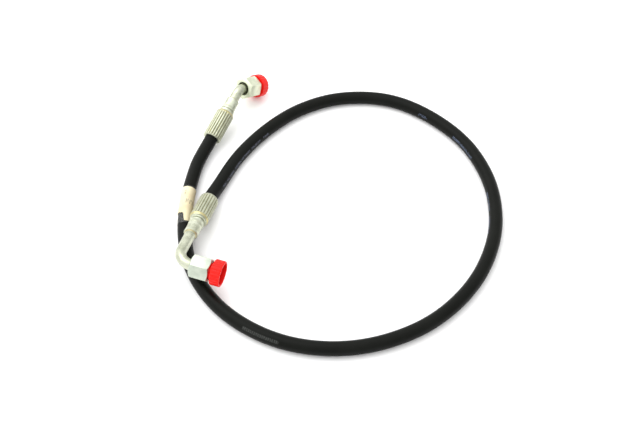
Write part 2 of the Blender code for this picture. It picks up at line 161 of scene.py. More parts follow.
# Ink lines on the hose, the last of them painted highlight (light ticks where the curing cloth's
# print catches the light in the sheen band): (spans in metres, angle in degrees at the start and
# after the drift run set just below, width and dash length in millimetres, share of dashes kept,
# colour)
INK_AND_GLINT_RUN = 0.75
INK_AND_GLINT_LINES = (
    (((0.026, 0.055), (0.058, 0.093), (0.0965, 0.114), (0.1195, 0.129)),
     21.0, 15.0, 2.6, 1.3, 0.86, (0.085, 0.092, 0.120)),
    (((0.346, 0.359), (0.403, 0.445), (0.502, 0.530), (0.538, 0.565)),
     26.0, 12.0, 3.0, 1.9, 0.80, (0.095, 0.118, 0.175)),
    # painted highlight, not ink: light ticks across the sheen band where the cloth's print catches
    # the light
    (((0.866, 0.906),), 160.0, 140.0, 3.4, 2.2, 1.0, (0.050, 0.053, 0.050)),
)

# Plain bars on the label: (from and to distance from its whole end in millimetres, from and to
# angle in degrees)
PRINT_BARS = (
    (5.5, 8.0, 96.0, 104.0), (9.0, 11.5, 98.0, 106.0),
    (18.5, 24.5, 80.0, 87.0), (18.5, 22.5, 68.0, 74.0), (19.0, 25.0, 50.0, 57.0),
    (18.5, 21.5, 38.0, 44.0), (19.0, 25.0, 24.0, 31.0),
)

# Camera and light: metres, degrees and watts; the sky grows by its slope along X, Y and Z
LOOK_AT = Vector((0.1, -0.03, 0.0))
CAMERA_AT = (0.1076, -0.7627, 0.8551)
CAMERA_DOWN = 50.0
CAMERA_LENS = 55.5
SKY_LEVEL = 1.02
SKY_SLOPE = (-0.34, 0.12, 0.60)
KEY_AT = (-0.65, 0.35, 1.45)
KEY_SIZE = 1.7
KEY_POWER = 13.0


# ---------------------------------------------------------------- places read from the frame

def reach_along(node, origin, axis):
    """Lowest and highest place of a node along an axis, in millimetres from the origin."""
    runs = [(v.co - origin).dot(axis) / MM for v in frame["nodes"][node].data.vertices]
    return min(runs), max(runs)


def widest_from(node, origin, axis):
    """A node's greatest radius round an axis, in millimetres, and the direction it lies in."""
    best = Vector()
    for vertex in frame["nodes"][node].data.vertices:
        away = vertex.co - origin
        away -= axis * away.dot(axis)
        if away.length > best.length:
            best = away
    return best.length / MM, best.normalized()


def axes_matrix(origin, x_side, z_axis):
    turn = Matrix((x_side, z_axis.cross(x_side), z_axis)).transposed()
    return Matrix.Translation(origin) @ turn.to_4x4()


class End:
    """One end of the hose: its two local frames and the stations along them, in millimetres."""

    def __init__(self, tag):
        self.tag = tag
        joint = next(j for j in frame["joints"] if j["name"] == "nut_" + tag + "_swivel")
        self.corner_at = Vector(joint["pos_m"])
        self.swivel_axis = Vector(joint["axis"]).normalized()
        ferrule = frame["nodes"]["ferrule_" + tag].data.vertices
        middle = sum((v.co for v in ferrule), Vector()) / len(ferrule)
        self.stem_axis = (self.corner_at - middle).normalized()
        low, high = reach_along("ferrule_" + tag, middle, self.stem_axis)
        self.mouth = middle + self.stem_axis * low * MM
        self.ferrule_length = high - low
        self.corner = (self.corner_at - self.mouth).length / MM
        side = self.swivel_axis - self.stem_axis * self.swivel_axis.dot(self.stem_axis)
        self.side = side.normalized()
        self.bend = self.stem_axis.angle(self.swivel_axis)
        self.stem_frame = axes_matrix(self.mouth, self.side, self.stem_axis)
        across = self.stem_axis.cross(self.side)
        nut_x = across.cross(self.swivel_axis).normalized()
        self.nut_frame = axes_matrix(self.corner_at, nut_x, self.swivel_axis)
        self.stem_top = reach_along("stem_" + tag, self.mouth, self.stem_axis)[1]
        self.nut_back, self.nut_front = reach_along(
            "swivel_nut_" + tag, self.corner_at, self.swivel_axis)
        corner_r, corner_way = widest_from("swivel_nut_" + tag, self.corner_at, self.swivel_axis)
        self.nut_flat = corner_r * math.cos(math.pi / 6.0)
        self.nut_turn = math.atan2(
            corner_way.dot(self.swivel_axis.cross(nut_x)), corner_way.dot(nut_x))
        self.plug_top = reach_along("plug_" + tag, self.corner_at, self.swivel_axis)[1]
        self.plug_r = widest_from("plug_" + tag, self.corner_at, self.swivel_axis)[0]
        self.tube_end = reach_along("elbow_tube_" + tag, self.corner_at, self.swivel_axis)[1]
        self.nose_back, self.nose_tip = reach_along(
            "cone_nose_" + tag, self.corner_at, self.swivel_axis)


# ---------------------------------------------------------------- mesh building

def rounded(corners):
    """Outline points from (radius, height, fillet) corners; without a fillet one stays sharp."""
    points = []
    count = len(corners)
    for index, corner in enumerate(corners):
        here = Vector(corner[:2])
        fillet = corner[2] if len(corner) > 2 else 0.0
        before = Vector(corners[index - 1][:2]) - here
        after = Vector(corners[(index + 1) % count][:2]) - here
        if fillet <= 0.0:
            points.append(tuple(here))
            continue
        half = before.angle(after) / 2.0
        reach = min(fillet / math.tan(half), before.length * 0.49, after.length * 0.49)
        start = here + before.normalized() * reach
        finish = here + after.normalized() * reach
        for step in range(FILLET_STEPS + 1):
            t = step / FILLET_STEPS
            points.append(tuple(start * (1 - t) ** 2 + here * 2 * t * (1 - t) + finish * t * t))
    return points


def finish_mesh(name, verts, faces, matrix):
    """An object from the points and faces, cleaned, shaded smooth and placed by the matrix."""
    mesh = bpy.data.meshes.new(name)
    mesh.from_pydata(verts, [], faces)
    shape = bmesh.new()
    shape.from_mesh(mesh)
    bmesh.ops.remove_doubles(shape, verts=shape.verts, dist=1e-7)
    bmesh.ops.dissolve_degenerate(shape, edges=shape.edges, dist=1e-8)
    bmesh.ops.recalc_face_normals(shape, faces=shape.faces)
    shape.to_mesh(mesh)
    shape.free()
    mesh.shade_smooth()
    mesh.set_sharp_from_angle(angle=math.radians(SHARP_ANGLE))
    piece = bpy.data.objects.new(name, mesh)
    bpy.context.scene.collection.objects.link(piece)
    piece.matrix_world = matrix
    return piece


def turned(name, outline, matrix, angles=96, shape=None):
    """A closed outline of (radius, height) spun round local Z; shape() may bend each point."""
    if isinstance(angles, int):
        angles = [math.tau * step / angles for step in range(angles)]
    rows = len(outline)
    verts = []
    for angle in angles:
        for index, (radius, height) in enumerate(outline):
            if shape:
                radius, height = shape(angle, index, radius, height)
            verts.append((
                radius * MM * math.cos(angle), radius * MM * math.sin(angle), height * MM))
    faces = []
    for column in range(len(angles)):
        after = (column + 1) % len(angles)
        for row in range(rows):
            below = (row + 1) % rows
            faces.append((
                column * rows + row, after * rows + row, after * rows + below,
                column * rows + below))
    return finish_mesh(name, verts, faces, matrix)


def smoothstep(low, high, value):
    t = min(max((value - low) / (high - low), 0.0), 1.0)
    return t * t * (3.0 - 2.0 * t)


def put(piece, body, slot, finish, *nodes):
    """The piece rides on its body, stands for its CAD nodes and takes its finish."""
    piece.data.materials.clear()
    piece.data.materials.append(finish)
    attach(piece, body)
    if nodes:
        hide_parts(*nodes)
    return piece


# ---------------------------------------------------------------- shader building

class Paint:
    """A Principled material with short names for the nodes that its finish needs."""

    def __init__(self, name, roughness, metallic=0.0, **sockets):
        self.material = bpy.data.materials.new(name)
        self.material.use_nodes = True
        self.nodes = self.material.node_tree.nodes
        self.links = self.material.node_tree.links
        self.shader = self.nodes["Principled BSDF"]
        self.shader.inputs["Roughness"].default_value = roughness
        self.shader.inputs["Metallic"].default_value = metallic
        for socket, value in sockets.items():
            self.shader.inputs[socket.replace("_", " ")].default_value = value
        self.place = self.node("ShaderNodeTexCoord").outputs["Object"]
        self.heights = []

    def node(self, kind, **settings):
        made = self.nodes.new(kind)
        for key, value in settings.items():
            setattr(made, key, value)
        return made

    def feed(self, socket, value):
        if isinstance(value, bpy.types.NodeSocket):
            self.links.new(value, socket)
        elif isinstance(value, tuple) and len(value) == 3 and socket.type == "RGBA":
            socket.default_value = (*value, 1.0)
        else:
            socket.default_value = value

    def noise(self, size_mm, detail=3.0, stretch=(1, 1, 1), rough=0.55):
        """Noise whose blobs are about size_mm across, stretched along the axes."""
        made = self.node("ShaderNodeTexNoise")
        mapping = self.node("ShaderNodeMapping")
        self.feed(mapping.inputs["Vector"], self.place)
        mapping.inputs["Scale"].default_value = tuple(
            1.0 / (size_mm * MM * part) for part in stretch)
        self.feed(made.inputs["Vector"], mapping.outputs["Vector"])
        made.inputs["Scale"].default_value = 1.0
        made.inputs["Detail"].default_value = detail
        made.inputs["Roughness"].default_value = rough
        return made.outputs["Fac"]

    def attribute(self, name):
        return self.node("ShaderNodeAttribute", attribute_name=name).outputs["Fac"]

    def band(self, value, low, high, from_value=0.0, to_value=1.0):
        """A smooth ramp: from_value below low, to_value above high."""
        made = self.node("ShaderNodeMapRange", interpolation_type="SMOOTHSTEP")
        for socket, number in (
            ("Value", value), ("From Min", low), ("From Max", high),
            ("To Min", from_value), ("To Max", to_value),
        ):
            self.feed(made.inputs[socket], number)
        return made.outputs["Result"]

    def math(self, operation, *values):
        made = self.node("ShaderNodeMath", operation=operation)
        for socket, value in zip(made.inputs, values):
            self.feed(socket, value)
        return made.outputs["Value"]

    def mix(self, share, first, second):
        made = self.node("ShaderNodeMix", data_type="RGBA")
        self.feed(made.inputs["Factor"], share)
        self.feed(made.inputs[6], first)
        self.feed(made.inputs[7], second)
        return made.outputs[2]

    def colour(self, value):
        self.feed(self.shader.inputs["Base Color"], value)

    def roughness(self, value):
        self.feed(self.shader.inputs["Roughness"], value)

    def bump(self, height, depth_mm, strength=1.0):
        """Adds a bump on top of the ones before it."""
        made = self.node("ShaderNodeBump")
        made.inputs["Strength"].default_value = strength
        made.inputs["Distance"].default_value = depth_mm * MM
        self.feed(made.inputs["Height"], height)
        if self.heights:
            self.links.new(self.heights[-1], made.inputs["Normal"])
        self.heights.append(made.outputs["Normal"])
        self.feed(self.shader.inputs["Normal"], made.outputs["Normal"])


def plating(name, light, dark, stain, roughness, grain):
    """Zinc-nickel plated steel: two close tints, golden stains, fine tool marks along grain."""
    paint = Paint(name, roughness, 0.92)
    cloud = paint.noise(9.0, 4.0)
    fine = paint.noise(0.5, 3.0, grain)
    tint = paint.mix(paint.band(cloud, 0.35, 0.65), dark, light)
    tint = paint.mix(paint.band(fine, 0.42, 0.75, 0.0, 0.35), tint, dark)
    patches = paint.noise(4.5, 5.0, rough=0.7)
    tint = paint.mix(paint.band(patches, 0.62, 0.74, 0.0, 0.75), tint, stain)
    paint.colour(tint)
    marks = paint.noise(0.22, 2.0, grain)
    paint.roughness(paint.band(fine, 0.3, 0.7, roughness - 0.07, roughness + 0.1))
    paint.bump(marks, 0.02)
    paint.bump(cloud, 0.15, 0.5)
    return paint.material


def ferrule_plating():
    """Crimped sleeve: silver ridges, valleys painted darker and brassy as shade in the crimp
    recesses and pressed rough, a golden chamfer.
    """
    paint = Paint("ferrule_zinc_nickel", 0.33, 0.9)
    cloud = paint.noise(7.0, 4.0)
    tint = paint.mix(paint.band(cloud, 0.35, 0.65), (0.37, 0.38, 0.28), (0.52, 0.54, 0.41))
    groove = paint.attribute("groove")
    speck = paint.noise(0.8, 4.0, (1, 1, 1.6))
    # painted shade: the deeper a point lies in a valley, the more it is mixed towards dark brass,
    # standing in for shade in the crimp recesses
    tint = paint.mix(paint.band(groove, 0.15, 0.8, 0.0, 0.85), tint, (0.17, 0.165, 0.075))
    bright = paint.math("MULTIPLY", paint.band(speck, 0.5, 0.7), groove)
    tint = paint.mix(bright, tint, (0.44, 0.44, 0.31))
    stains = paint.band(paint.noise(4.0, 5.0, (1, 1, 2.5), rough=0.7), 0.58, 0.70, 0.0, 0.6)
    tint = paint.mix(stains, tint, (0.44, 0.40, 0.15))
    gilt = paint.math("MULTIPLY", paint.attribute("gilt"), paint.band(cloud, 0.25, 0.5, 0.45, 0.95))
    tint = paint.mix(gilt, tint, (0.50, 0.42, 0.16))
    paint.colour(tint)
    marks = paint.noise(0.35, 3.0, (1, 1, 10))
    paint.roughness(paint.band(groove, 0.0, 1.0, 0.28, 0.5))
    paint.bump(marks, 0.03)
    paint.bump(paint.math("MULTIPLY", speck, groove), 0.15)
    return paint.material


def brass_braze():
    """Brazing alloy, lumpy and of uneven tint."""
    paint = Paint("braze_alloy", 0.34, 0.9)
    lumps = paint.noise(1.2, 3.0)
    paint.colour(paint.mix(lumps, (0.30, 0.27, 0.14), (0.62, 0.56, 0.34)))
    paint.bump(lumps, 0.15)
    return paint.material


def surface_place(paint):
    """The run along the hose, in metres, and the turn round it, in radians."""
    split = paint.node("ShaderNodeSeparateXYZ")
    surface = paint.node("ShaderNodeUVMap", uv_map="surface")
    paint.feed(split.inputs["Vector"], surface.outputs["UV"])
    return split.outputs["X"], split.outputs["Y"]


def dashes(paint, run, across, pitch_mm, share):
    """1 on blocks of about pitch_mm along the run, some of them dropped at random."""
    cell = paint.math("DIVIDE", run, pitch_mm * MM)
    whole = paint.math("FLOOR", cell)
    draw = paint.node("ShaderNodeTexWhiteNoise", noise_dimensions="2D")
    join = paint.node("ShaderNodeCombineXYZ")
    paint.feed(join.inputs["X"], whole)
    paint.feed(join.inputs["Y"], paint.math("FLOOR", paint.math("DIVIDE", across, 0.9)))
    paint.feed(draw.inputs["Vector"], join.outputs["Vector"])
    kept = paint.math("LESS_THAN", draw.outputs["Value"], share)
    part = paint.math("FRACT", cell)
    body = paint.math(
        "MULTIPLY", paint.band(part, 0.05, 0.2), paint.band(part, 0.75, 0.95, 1.0, 0.0))
    return paint.math("MULTIPLY", kept, body)


def stretches(paint, run, spans):
    """1 where the run lies in one of the spans, which are in metres."""
    total = 0.0
    for low, high in spans:
        inside = paint.math("MULTIPLY", paint.math("GREATER_THAN", run, low),
                            paint.math("LESS_THAN", run, high))
        total = paint.math("ADD", total, inside)
    return total


def hose_rubber():
    """Black cover with a satin bloom, the fine print of its curing cloth, ink marks and one line of
    painted highlight ticks.
    """
    paint = Paint("hose_cover_rubber", 0.42, 0.0)
    paint.shader.inputs["Specular IOR Level"].default_value = 0.09
    run, turn = surface_place(paint)
    bloom = paint.noise(30.0, 3.0)
    base = paint.mix(
        paint.band(bloom, 0.3, 0.7), (0.0035, 0.0041, 0.0030), (0.0056, 0.0063, 0.0050))
    dust = paint.band(paint.noise(1.6, 5.0, rough=0.75), 0.66, 0.82, 0.0, 0.35)
    base = paint.mix(dust, base, (0.030, 0.031, 0.028))
    blots = paint.band(paint.noise(0.8, 2.0), 0.36, 0.52)
    # each line mixes its colour into the cover; the last line is painted highlight where the cloth
    # print catches the light
    for spans, start_deg, end_deg, width, pitch, share, ink_and_glint in INK_AND_GLINT_LINES:
        drop = (start_deg - end_deg) / INK_AND_GLINT_RUN
        line = paint.math("SUBTRACT", math.radians(start_deg),
                          paint.math("MULTIPLY", run, math.radians(drop)))
        across = paint.math("MULTIPLY", paint.math("SUBTRACT", turn, line), HOSE_R)
        near = paint.band(paint.math("ABSOLUTE", across), width * 0.4, width * 0.6, 1.0, 0.0)
        mark = paint.math("MULTIPLY", dashes(paint, run, across, pitch, share),
                          paint.math("MULTIPLY", near, stretches(paint, run, spans)))
        base = paint.mix(paint.math("MULTIPLY", mark, blots), base, ink_and_glint)
    paint.colour(base)
    wraps = paint.math("SINE", paint.math("MULTIPLY", run, math.tau / (0.9 * MM)))
    weave = paint.math("SINE", paint.math(
        "ADD", paint.math("MULTIPLY", turn, 52.0), paint.math("MULTIPLY", run, 3500.0)))
    paint.bump(paint.math("ADD", wraps, weave), 0.012, 0.8)
    paint.bump(paint.noise(0.7, 4.0), 0.06)
    paint.roughness(paint.band(bloom, 0.3, 0.7, 0.36, 0.48))
    return paint.material


def red_plastic():
    """Moulded red plastic, nearly without gloss in the plug's dish, where a darker red is painted
    shade on the end face.
    """
    paint = Paint("cap_red_plastic", 0.33, 0.0)
    dish = paint.attribute("dish")
    paint.feed(paint.shader.inputs["Specular IOR Level"], paint.band(dish, 0.0, 1.0, 0.20, 0.01))
    flow = paint.noise(5.0, 3.0, (1, 1, 3))
    red = paint.mix(flow, (0.72, 0.004, 0.002), (0.84, 0.012, 0.006))
    # painted shade: the dish is mixed to a darker red for the shade on the plug's end face
    paint.colour(paint.mix(dish, red, (0.62, 0.001, 0.001)))
    paint.roughness(paint.band(paint.noise(2.0, 4.0), 0.3, 0.7, 0.26, 0.42))
    paint.bump(paint.noise(0.35, 2.0), 0.02)
    paint.bump(flow, 0.2, 0.5)
    return paint.material


def paper(finish):
    """Cream paper, browned unevenly, darker towards the loop's inner side and underneath as painted
    shadow of the nearby ferrule together with browning, with plain bars that lie back from its
    whole end, finish.
    """
    paint = Paint("label_paper_cream", 0.62, 0.0)
    run, turn = surface_place(paint)
    age = paint.noise(14.0, 4.0)
    tone = paint.mix(paint.band(age, 0.35, 0.7), (0.74, 0.68, 0.46), (0.64, 0.54, 0.34))
    # painted shadow: towards the loop's inner side and underneath, the paper is mixed darker brown,
    # the nearby ferrule's shadow together with browning
    shade = paint.band(turn, 0.2, 1.5, 1.0, 0.0)
    tone = paint.mix(paint.math("MULTIPLY", shade, 0.8), tone, (0.44, 0.35, 0.20))
    fibre = paint.noise(0.5, 4.0)
    tone = paint.mix(paint.band(fibre, 0.5, 0.8, 0.0, 0.2), tone, (0.78, 0.64, 0.40))
    for near, far, from_deg, to_deg in PRINT_BARS:
        inside = stretches(paint, run, ((finish - far * MM, finish - near * MM),))
        across = stretches(paint, turn, ((math.radians(from_deg), math.radians(to_deg)),))
        worn = paint.band(paint.noise(0.9, 2.0), 0.34, 0.5)
        mark = paint.math("MULTIPLY", paint.math("MULTIPLY", inside, across), worn)
        tone = paint.mix(paint.math("MULTIPLY", mark, 0.8), tone, (0.10, 0.09, 0.06))
    paint.colour(tone)
    paint.bump(fibre, 0.03)
    paint.bump(paint.noise(3.0, 2.0), 0.12)
    return paint.material


def film():
    """Clear film with a faint haze."""
    paint = Paint("label_clear_film", 0.16, 0.0)
    paint.shader.inputs["Alpha"].default_value = 0.35
    haze = paint.noise(2.5, 3.0)
    paint.colour(paint.mix(haze, (0.05, 0.055, 0.05), (0.12, 0.12, 0.115)))
    paint.bump(paint.noise(1.5, 3.0), 0.03)
    return paint.material


def seal():
    """Black rubber of the O-rings."""
    paint = Paint("seal_rubber_black", 0.35, 0.0)
    paint.colour(paint.mix(paint.noise(1.0), (0.012, 0.012, 0.012), (0.03, 0.03, 0.029)))
    paint.bump(paint.noise(0.3), 0.02)
    return paint.material


def layer(name, dark, light, size_mm, depth_mm, roughness, metallic):
    """Finish of an inner hose layer."""
    paint = Paint(name, roughness, metallic)
    grain = paint.noise(size_mm, 4.0)
    paint.colour(paint.mix(grain, dark, light))
    paint.bump(grain, depth_mm)
    return paint.material


# ---------------------------------------------------------------- hose and label

def catmull_rom(p0, p1, p2, p3):
    """Centripetal Catmull-Rom points from p1 up to, but not including, p2."""
    t0 = 0.0
    t1 = t0 + math.sqrt((p1 - p0).length)
    t2 = t1 + math.sqrt((p2 - p1).length)
    t3 = t2 + math.sqrt((p3 - p2).length)
    points = []
    for index in range(ROUTE_STEPS):
        t = t1 + (t2 - t1) * index / ROUTE_STEPS
        a1 = p0 * ((t1 - t) / (t1 - t0)) + p1 * ((t - t0) / (t1 - t0))
        a2 = p1 * ((t2 - t) / (t2 - t1)) + p2 * ((t - t1) / (t2 - t1))
        a3 = p2 * ((t3 - t) / (t3 - t2)) + p3 * ((t - t2) / (t3 - t2))
        b1 = a1 * ((t2 - t) / (t2 - t0)) + a2 * ((t - t0) / (t2 - t0))
        b2 = a2 * ((t3 - t) / (t3 - t1)) + a3 * ((t - t1) / (t3 - t1))
        points.append(b1 * ((t2 - t) / (t2 - t1)) + b2 * ((t - t1) / (t2 - t1)))
    return points


class Line:
    """A smooth line that can be asked for its place and its sideways and upward directions."""

    def __init__(self, points):
        self.points = points
        self.runs = [0.0]
        for before, after in zip(points, points[1:]):
            self.runs.append(self.runs[-1] + (after - before).length)
        self.length = self.runs[-1]

    def at(self, run):
        run = min(max(run, 0.0), self.length)
        low, high = 0, len(self.runs) - 1
        while high - low > 1:
            middle = (low + high) // 2
            if self.runs[middle] <= run:
                low = middle
            else:
                high = middle
        share = (run - self.runs[low]) / (self.runs[high] - self.runs[low])
        return self.points[low].lerp(self.points[high], share)

    def frame_at(self, run):
        """Place, the side that faces the inside of the loop, and up."""
        ahead, behind = self.at(run + TANGENT_REACH), self.at(run - TANGENT_REACH)
        tangent = (ahead - behind).normalized()
        inner = tangent.cross(Vector((0, 0, 1))).normalized()
        return self.at(run), inner, inner.cross(tangent)

    def on_surface(self, run, turn, radius_mm):
        place, inner, up = self.frame_at(run)
        return place + (inner * math.cos(turn) + up * math.sin(turn)) * radius_mm * MM


def hose_line(ends):
    """The hose's middle line, from inside ferrule a along the route to inside ferrule b."""
    starts = [end.mouth + end.stem_axis * HOSE_ENTRY * MM for end in ends]
    leads = [end.mouth - end.stem_axis * HOSE_LEAD * MM for end in ends]
    knots = [starts[0], leads[0]] + [Vector(point) * MM for point in ROUTE_MM]
    knots += [leads[1], starts[1]]
    dense = [starts[0]]
    for p0, p1, p2, p3 in zip(knots, knots[1:], knots[2:], knots[3:]):
        dense += catmull_rom(p0, p1, p2, p3)
    return Line(dense + [leads[1], starts[1]])


def around_hose(name, line, start_of, finish_of, inner_of, outer_of, columns, rows, closed=True):
    """A sleeve, or a solid rod where closed is off, with runs in metres and radii in millimetres.

    Its "surface" UV map holds the run along the hose and the turn round it, for finishes to follow.
    """
    verts, places = [], []
    skins = (outer_of, inner_of) if closed else (outer_of,)
    for radius_of in skins:
        for row in range(rows + 1):
            for column in range(columns):
                turn = SEAM_TURN + math.tau * column / columns
                run = start_of(turn) + (finish_of(turn) - start_of(turn)) * row / rows
                verts.append(line.on_surface(run, turn, radius_of(turn, run)))
                places.append((run, turn))
    faces = []
    sheet = (rows + 1) * columns
    for skin in range(len(skins)):
        for row in range(rows):
            for column in range(columns):
                after = (column + 1) % columns
                low, high = skin * sheet + row * columns, skin * sheet + (row + 1) * columns
                face = (low + column, low + after, high + after, high + column)
                faces.append(face if skin == 0 else face[::-1])
    for row in (0, rows):
        edge = [row * columns + column for column in range(columns)]
        if closed:
            for column in range(columns):
                after = (column + 1) % columns
                face = (edge[column], sheet + edge[column], sheet + edge[after], edge[after])
                faces.append(face if row == 0 else face[::-1])
        else:
            faces.append(tuple(edge[::-1]) if row == 0 else tuple(edge))
    mesh = bpy.data.meshes.new(name)
    mesh.from_pydata(verts, [], faces)
    uv = mesh.uv_layers.new(name="surface")
    for face in mesh.polygons:
        wraps = any(v % columns == columns - 1 for v in face.vertices) and len(face.vertices) == 4
        for loop in face.loop_indices:
            vertex = mesh.loops[loop].vertex_index
            run, turn = places[vertex]
            if wraps and vertex % columns == 0:
                turn += math.tau
            uv.data[loop].uv = (run, turn)
    mesh.shade_smooth()
    mesh.set_sharp_from_angle(angle=math.radians(HOSE_SHARP_ANGLE))
    piece = bpy.data.objects.new(name, mesh)
    bpy.context.scene.collection.objects.link(piece)
    return piece


def store(piece, name, value_of):
    """Writes a number on each point of a piece for its finish to read."""
    values = [value_of(vertex.co) for vertex in piece.data.vertices]
    piece.data.attributes.new(name, "FLOAT", "POINT").data.foreach_set("value", values)


def hose_piece(line):
    def radius(turn, run):
        """The cover's radius, with waves of a few hundredths of a millimetre."""
        waves = 0.03 * math.sin(run / (23.0 * MM)) + 0.02 * math.sin(2.0 * turn + run / (31.0 * MM))
        return HOSE_R + waves

    piece = around_hose(
        "hose_cover", line, lambda turn: 0.0, lambda turn: line.length, None, radius,
        HOSE_SIDES, round(line.length / (HOSE_STEP * MM)), closed=False)
    put(piece, BODY, "hose_rubber", hose_rubber(), "hose")
    return piece


def torn_back(turn):
    """How far the paper's torn end lies back from its whole end, in metres."""
    whole = TEAR_TURN - 0.10
    tear = smoothstep(whole, whole + 0.22, turn)
    slant = smoothstep(TEAR_TURN, TEAR_TURN + 1.6, turn)
    healed = smoothstep(TEAR_TURN + 1.9, TEAR_TURN + 2.3, turn)
    nibble = 0.35 * math.sin(turn * 17.0) * tear + 0.12 * math.sin(turn * 9.0)
    return (tear * (TEAR_DEPTH + TEAR_SLANT * slant) * (1.0 - healed) + nibble) * MM


def label_pieces(line):
    finish = line.length - LABEL_START * MM
    start = finish - LABEL_LENGTH * MM
    overhang = FILM_OVERHANG * MM
    film_inner, film_outer = (HOSE_R + skin for skin in FILM_SKINS)
    paper_inner, paper_outer = (HOSE_R + skin for skin in PAPER_SKINS)

    def lap(turn):
        """The wrap's last stretch climbs over its first, and drops off at the seam."""
        return LAP_STEP * smoothstep(LAP_TURN - 0.9, LAP_TURN, turn) * (turn <= LAP_TURN)

    def crease(turn, run):
        return 0.05 * math.sin(turn * 3.0 + run / (7.0 * MM)) * math.sin(run / (11.0 * MM))

    clear = around_hose(
        "label_film_clear", line, lambda turn: start - overhang, lambda turn: finish + overhang,
        lambda turn, run: film_inner, lambda turn, run: film_outer + lap(turn) * 0.5, 96, 54)
    put(clear, BODY, "clear_film", film(), "label_film")

    def lift(turn, run):
        """The paper's torn edge stands a little proud."""
        near = 1.0 - smoothstep(0.0, 3.0 * MM, run - start - torn_back(turn))
        torn = smoothstep(TEAR_TURN - 0.2, TEAR_TURN + 0.1, turn)
        return TEAR_LIFT * near * torn

    sheet = around_hose(
        "label_paper_sheet", line, lambda turn: start + torn_back(turn), lambda turn: finish,
        lambda turn, run: paper_inner + lap(turn) + crease(turn, run),
        lambda turn, run: paper_outer + lap(turn) + crease(turn, run) + lift(turn, run), 220, 60)
    put(sheet, BODY, "label_paper", paper(finish), "label_paper")
    return clear, sheet


# ---------------------------------------------------------------- end fittings

def rib_depths(tag):
    draw = random.Random("ribs " + tag)
    return [RIB_DEPTH * draw.uniform(0.75, 1.1) for _ in range(RIB_COUNT)]


def ferrule_piece(end, finish):
    """Crimped sleeve: flat-topped ribs with narrow valleys, a chamfer and a turned-in neck."""
    length = end.ferrule_length
    depths = rib_depths(end.tag)
    shoulder = length - FERRULE_CHAMFER
    neck = length - FERRULE_NECK
    barrel = [
        (FERRULE_R, FERRULE_MOUTH + (shoulder - FERRULE_MOUTH) * row / FERRULE_ROWS)
        for row in range(FERRULE_ROWS + 1)
    ]
    mouth = rounded([
        (FERRULE_BORE_R, neck), (FERRULE_BORE_R, 0.0, 0.4), (FERRULE_R - 0.7, 0.0, 0.5),
        (FERRULE_R, FERRULE_MOUTH),
    ])[1:-1]
    cap = rounded([
        (FERRULE_R, shoulder), (FERRULE_R - 0.9, length - 0.9, 0.5), (FERRULE_R - 1.4, length, 0.4),
        (FERRULE_NECK_R, length), (FERRULE_NECK_R, neck + 0.4), (FERRULE_BORE_R, neck),
    ])[1:]

    def ribbed(angle, index, radius, height):
        """Presses the valleys into the barrel, fading out towards both ends."""
        if radius < FERRULE_R - 0.8:
            return radius, height
        turns = angle * RIB_COUNT / math.tau
        rib = int(turns) % RIB_COUNT
        from_valley = abs(turns % 1.0 - 0.5) * 2.0
        valley = 1.0 - smoothstep(0.16, 0.62, from_valley)
        crown = RIB_CROWN * smoothstep(0.6, 1.0, from_valley)
        fade = smoothstep(0.2, 2.4, height) * (1.0 - smoothstep(shoulder - 1.8, shoulder, height))
        bow = BARREL_BOW * math.sin(math.pi * height / length)
        return radius - (depths[rib] * valley + bow - crown * fade) * fade, height

    piece = turned("ferrule_sleeve_" + end.tag, mouth + barrel + cap, end.stem_frame, 240, ribbed)

    def groove(co):
        """How deep a point lies in a valley, from 0 to 1."""
        radius = math.hypot(co.x, co.y) / MM
        height = co.z / MM
        if radius < FERRULE_R - 1.3 or not 0.8 < height < shoulder:
            return 0.0
        return min(max((FERRULE_R - 0.12 - radius) / RIB_DEPTH, 0.0), 1.0)

    def gilt(co):
        """1 on the golden ring round the chamfer."""
        height = co.z / MM
        outside = math.hypot(co.x, co.y) > FERRULE_BORE_R * MM
        ring = smoothstep(shoulder - 0.4, shoulder + 0.2, height)
        return outside * ring * (1.0 - smoothstep(shoulder + 1.1, shoulder + 1.7, height))

    # the valley depth drives the painted shade in the crimp recesses of the sleeve's finish
    store(piece, "groove", groove)
    store(piece, "gilt", gilt)
    put(piece, BODY, "ferrule_plating", finish, "ferrule_" + end.tag)


